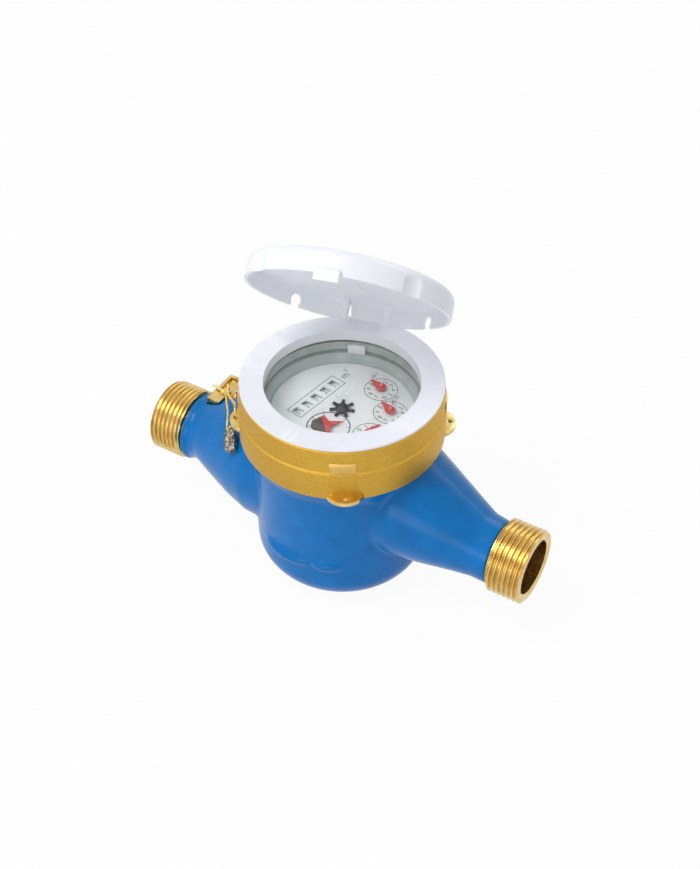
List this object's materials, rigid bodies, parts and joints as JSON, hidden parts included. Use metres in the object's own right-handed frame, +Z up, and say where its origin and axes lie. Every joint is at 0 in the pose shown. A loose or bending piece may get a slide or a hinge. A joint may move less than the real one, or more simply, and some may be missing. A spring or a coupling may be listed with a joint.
{
  "type": "water meter",
  "caption": "Brass-bodied water meter with threaded pipe ends, a hinged lid over a round glazed dial, a turbine and a gear train that drives pointers and number drums.",
  "frame": {"origin": "centre of the flat base, under the middle of the dial", "axes": "+X along the pipe in the direction of flow, +Y away from the front of the lid, +Z up"},
  "size_m": [0.19, 0.09, 0.1728],
  "materials": {
    "blue_paint": "satin epoxy coating",
    "brass": "machined and sandblasted brass",
    "white_plastic": "moulded, satin",
    "glass": "clear",
    "rubber": "matte",
    "grey_plastic": "moulded, matte",
    "dial_white": "printed card white",
    "red_plastic": "moulded",
    "gear_plastic": "moulded acetal",
    "black_plastic": "moulded",
    "ferrite": "pressed ferrite, matte",
    "steel": "drawn wire",
    "lead": "crimped lead, dull"
  },
  "bodies": {
    "meter_case": {"body": "blue_paint", "locking_ring": "brass", "glass": "glass", "glass_gasket": "rubber", "register_housing": "grey_plastic", "dial_plate": "dial_white", "gear_plate": "grey_plastic", "drum_shaft": "steel", "transfer_shaft": "steel", "pressure_plate": "brass", "plate_seal": "rubber", "chamber_base": "grey_plastic", "chamber_cover": "grey_plastic", "pivot_pin": "steel", "strainer": "grey_plastic", "regulating_screw": "brass", "screw_washer": "brass", "seal_wire": "brass", "seal_wire_loop": "brass", "lead_seal": "lead"},
    "bezel": {"bezel_ring": "white_plastic"},
    "lid_assembly": {"lid": "white_plastic", "hinge_pin": "steel"},
    "turbine": {"impeller": "white_plastic", "drive_magnet": "ferrite"},
    "centre_spindle": {"centre_arbor": "gear_plastic", "follower_magnet": "ferrite", "star_wheel": "black_plastic"},
    "idler_1": {"idler_wheel_1": "gear_plastic"},
    "idler_2": {"idler_wheel_2": "gear_plastic"},
    "idler_3": {"idler_wheel_3": "gear_plastic"},
    "idler_4": {"idler_wheel_4": "gear_plastic"},
    "pointer_shaft_1": {"pointer_arbor_1": "gear_plastic", "pointer_1": "red_plastic"},
    "pointer_shaft_2": {"pointer_arbor_2": "gear_plastic", "pointer_2": "red_plastic"},
    "pointer_shaft_3": {"pointer_arbor_3": "gear_plastic", "pointer_3": "red_plastic"},
    "pointer_shaft_4": {"pointer_arbor_4": "gear_plastic", "pointer_4": "red_plastic"},
    "worm": {"worm_arbor": "gear_plastic"},
    "drum_1": {"number_drum_1": "dial_white"},
    "drum_2": {"number_drum_2": "dial_white"},
    "drum_3": {"number_drum_3": "dial_white"},
    "drum_4": {"number_drum_4": "dial_white"},
    "drum_5": {"number_drum_5": "dial_white"},
    "transfer_1": {"transfer_pinion_1": "gear_plastic"},
    "transfer_2": {"transfer_pinion_2": "gear_plastic"},
    "transfer_3": {"transfer_pinion_3": "gear_plastic"},
    "transfer_4": {"transfer_pinion_4": "gear_plastic"}
  },
  "joints": [
    {"name": "bezel_turn", "type": "hinge", "parent": "meter_case", "child": "bezel", "pos_m": [0, 0, 0.096], "axis": [0, 0, 1], "continuous": true},
    {"name": "lid_hinge", "type": "hinge", "parent": "bezel", "child": "lid_assembly", "pos_m": [-0.01135, 0.04065, 0.1073], "axis": [-0.9632, -0.2689, 0], "range_deg": [-50, 60]},
    {"name": "impeller_spin", "type": "hinge", "parent": "meter_case", "child": "turbine", "pos_m": [0, 0, 0.034], "axis": [0, 0, 1], "continuous": true},
    {"name": "star_spin", "type": "hinge", "parent": "meter_case", "child": "centre_spindle", "pos_m": [0, 0, 0.075], "axis": [0, 0, 1], "continuous": true},
    {"name": "idler_1_spin", "type": "hinge", "parent": "meter_case", "child": "idler_1", "pos_m": [0.0056, -0.00585, 0.075], "axis": [0, 0, 1], "continuous": true},
    {"name": "pointer_shaft_1_spin", "type": "hinge", "parent": "meter_case", "child": "pointer_shaft_1", "pos_m": [0.0006, -0.01222, 0.075], "axis": [0, 0, 1], "continuous": true},
    {"name": "idler_2_spin", "type": "hinge", "parent": "meter_case", "child": "idler_2", "pos_m": [0.00978, -0.01332, 0.075], "axis": [0, 0, 1], "continuous": true},
    {"name": "pointer_shaft_2_spin", "type": "hinge", "parent": "meter_case", "child": "pointer_shaft_2", "pos_m": [0.0181, -0.00776, 0.075], "axis": [0, 0, 1], "continuous": true},
    {"name": "idler_3_spin", "type": "hinge", "parent": "meter_case", "child": "idler_3", "pos_m": [0.01351, 0.00026, 0.075], "axis": [0, 0, 1], "continuous": true},
    {"name": "pointer_shaft_3_spin", "type": "hinge", "parent": "meter_case", "child": "pointer_shaft_3", "pos_m": [0.01843, 0.00897, 0.075], "axis": [0, 0, 1], "continuous": true},
    {"name": "idler_4_spin", "type": "hinge", "parent": "meter_case", "child": "idler_4", "pos_m": [0.00926, 0.01008, 0.075], "axis": [0, 0, 1], "continuous": true},
    {"name": "pointer_shaft_4_spin", "type": "hinge", "parent": "meter_case", "child": "pointer_shaft_4", "pos_m": [0.00743, 0.01992, 0.075], "axis": [0, 0, 1], "continuous": true},
    {"name": "worm_spin", "type": "hinge", "parent": "meter_case", "child": "worm", "pos_m": [-0.00473, 0.02245, 0.075], "axis": [0, 0, 1], "continuous": true},
    {"name": "drum_1_spin", "type": "hinge", "parent": "meter_case", "child": "drum_1", "pos_m": [-0.01224, 0.01285, 0.0744], "axis": [0.1478, 0.989, 0], "continuous": true},
    {"name": "transfer_1_spin", "type": "hinge", "parent": "meter_case", "child": "transfer_1", "pos_m": [-0.01696, 0.00253, 0.06894], "axis": [0.1478, 0.989, 0], "continuous": true},
    {"name": "drum_2_spin", "type": "hinge", "parent": "meter_case", "child": "drum_2", "pos_m": [-0.0131, 0.00706, 0.0744], "axis": [0.1478, 0.989, 0], "continuous": true},
    {"name": "transfer_2_spin", "type": "hinge", "parent": "meter_case", "child": "transfer_2", "pos_m": [-0.01696, 0.00253, 0.06894], "axis": [0.1478, 0.989, 0], "continuous": true},
    {"name": "drum_3_spin", "type": "hinge", "parent": "meter_case", "child": "drum_3", "pos_m": [-0.01396, 0.00128, 0.0744], "axis": [0.1478, 0.989, 0], "continuous": true},
    {"name": "transfer_3_spin", "type": "hinge", "parent": "meter_case", "child": "transfer_3", "pos_m": [-0.01696, 0.00253, 0.06894], "axis": [0.1478, 0.989, 0], "continuous": true},
    {"name": "drum_4_spin", "type": "hinge", "parent": "meter_case", "child": "drum_4", "pos_m": [-0.01483, -0.00451, 0.0744], "axis": [0.1478, 0.989, 0], "continuous": true},
    {"name": "transfer_4_spin", "type": "hinge", "parent": "meter_case", "child": "transfer_4", "pos_m": [-0.01696, 0.00253, 0.06894], "axis": [0.1478, 0.989, 0], "continuous": true},
    {"name": "drum_5_spin", "type": "hinge", "parent": "meter_case", "child": "drum_5", "pos_m": [-0.01569, -0.01029, 0.0744], "axis": [0.1478, 0.989, 0], "continuous": true}
  ],
  "couplings": [
    {"joint": "star_spin", "follows": "impeller_spin", "ratio": 1},
    {"joint": "idler_1_spin", "follows": "impeller_spin", "ratio": -0.2},
    {"joint": "pointer_shaft_1_spin", "follows": "impeller_spin", "ratio": 0.04},
    {"joint": "idler_2_spin", "follows": "impeller_spin", "ratio": -0.013333},
    {"joint": "pointer_shaft_2_spin", "follows": "impeller_spin", "ratio": 0.004},
    {"joint": "idler_3_spin", "follows": "impeller_spin", "ratio": -0.0013333},
    {"joint": "pointer_shaft_3_spin", "follows": "impeller_spin", "ratio": 0.0004},
    {"joint": "idler_4_spin", "follows": "impeller_spin", "ratio": -0.00013333},
    {"joint": "pointer_shaft_4_spin", "follows": "impeller_spin", "ratio": 0.00004},
    {"joint": "worm_spin", "follows": "impeller_spin", "ratio": -0.00004},
    {"joint": "drum_1_spin", "follows": "impeller_spin", "ratio": -0.000004},
    {"joint": "transfer_1_spin", "follows": "impeller_spin", "ratio": 0.0000008},
    {"joint": "drum_2_spin", "follows": "impeller_spin", "ratio": -0.0000004},
    {"joint": "transfer_2_spin", "follows": "impeller_spin", "ratio": 0.00000008},
    {"joint": "drum_3_spin", "follows": "impeller_spin", "ratio": -0.00000004},
    {"joint": "transfer_3_spin", "follows": "impeller_spin", "ratio": 0.000000008},
    {"joint": "drum_4_spin", "follows": "impeller_spin", "ratio": -0.000000004},
    {"joint": "transfer_4_spin", "follows": "impeller_spin", "ratio": 0.0000000008},
    {"joint": "drum_5_spin", "follows": "impeller_spin", "ratio": -0.0000000004}
  ]
}
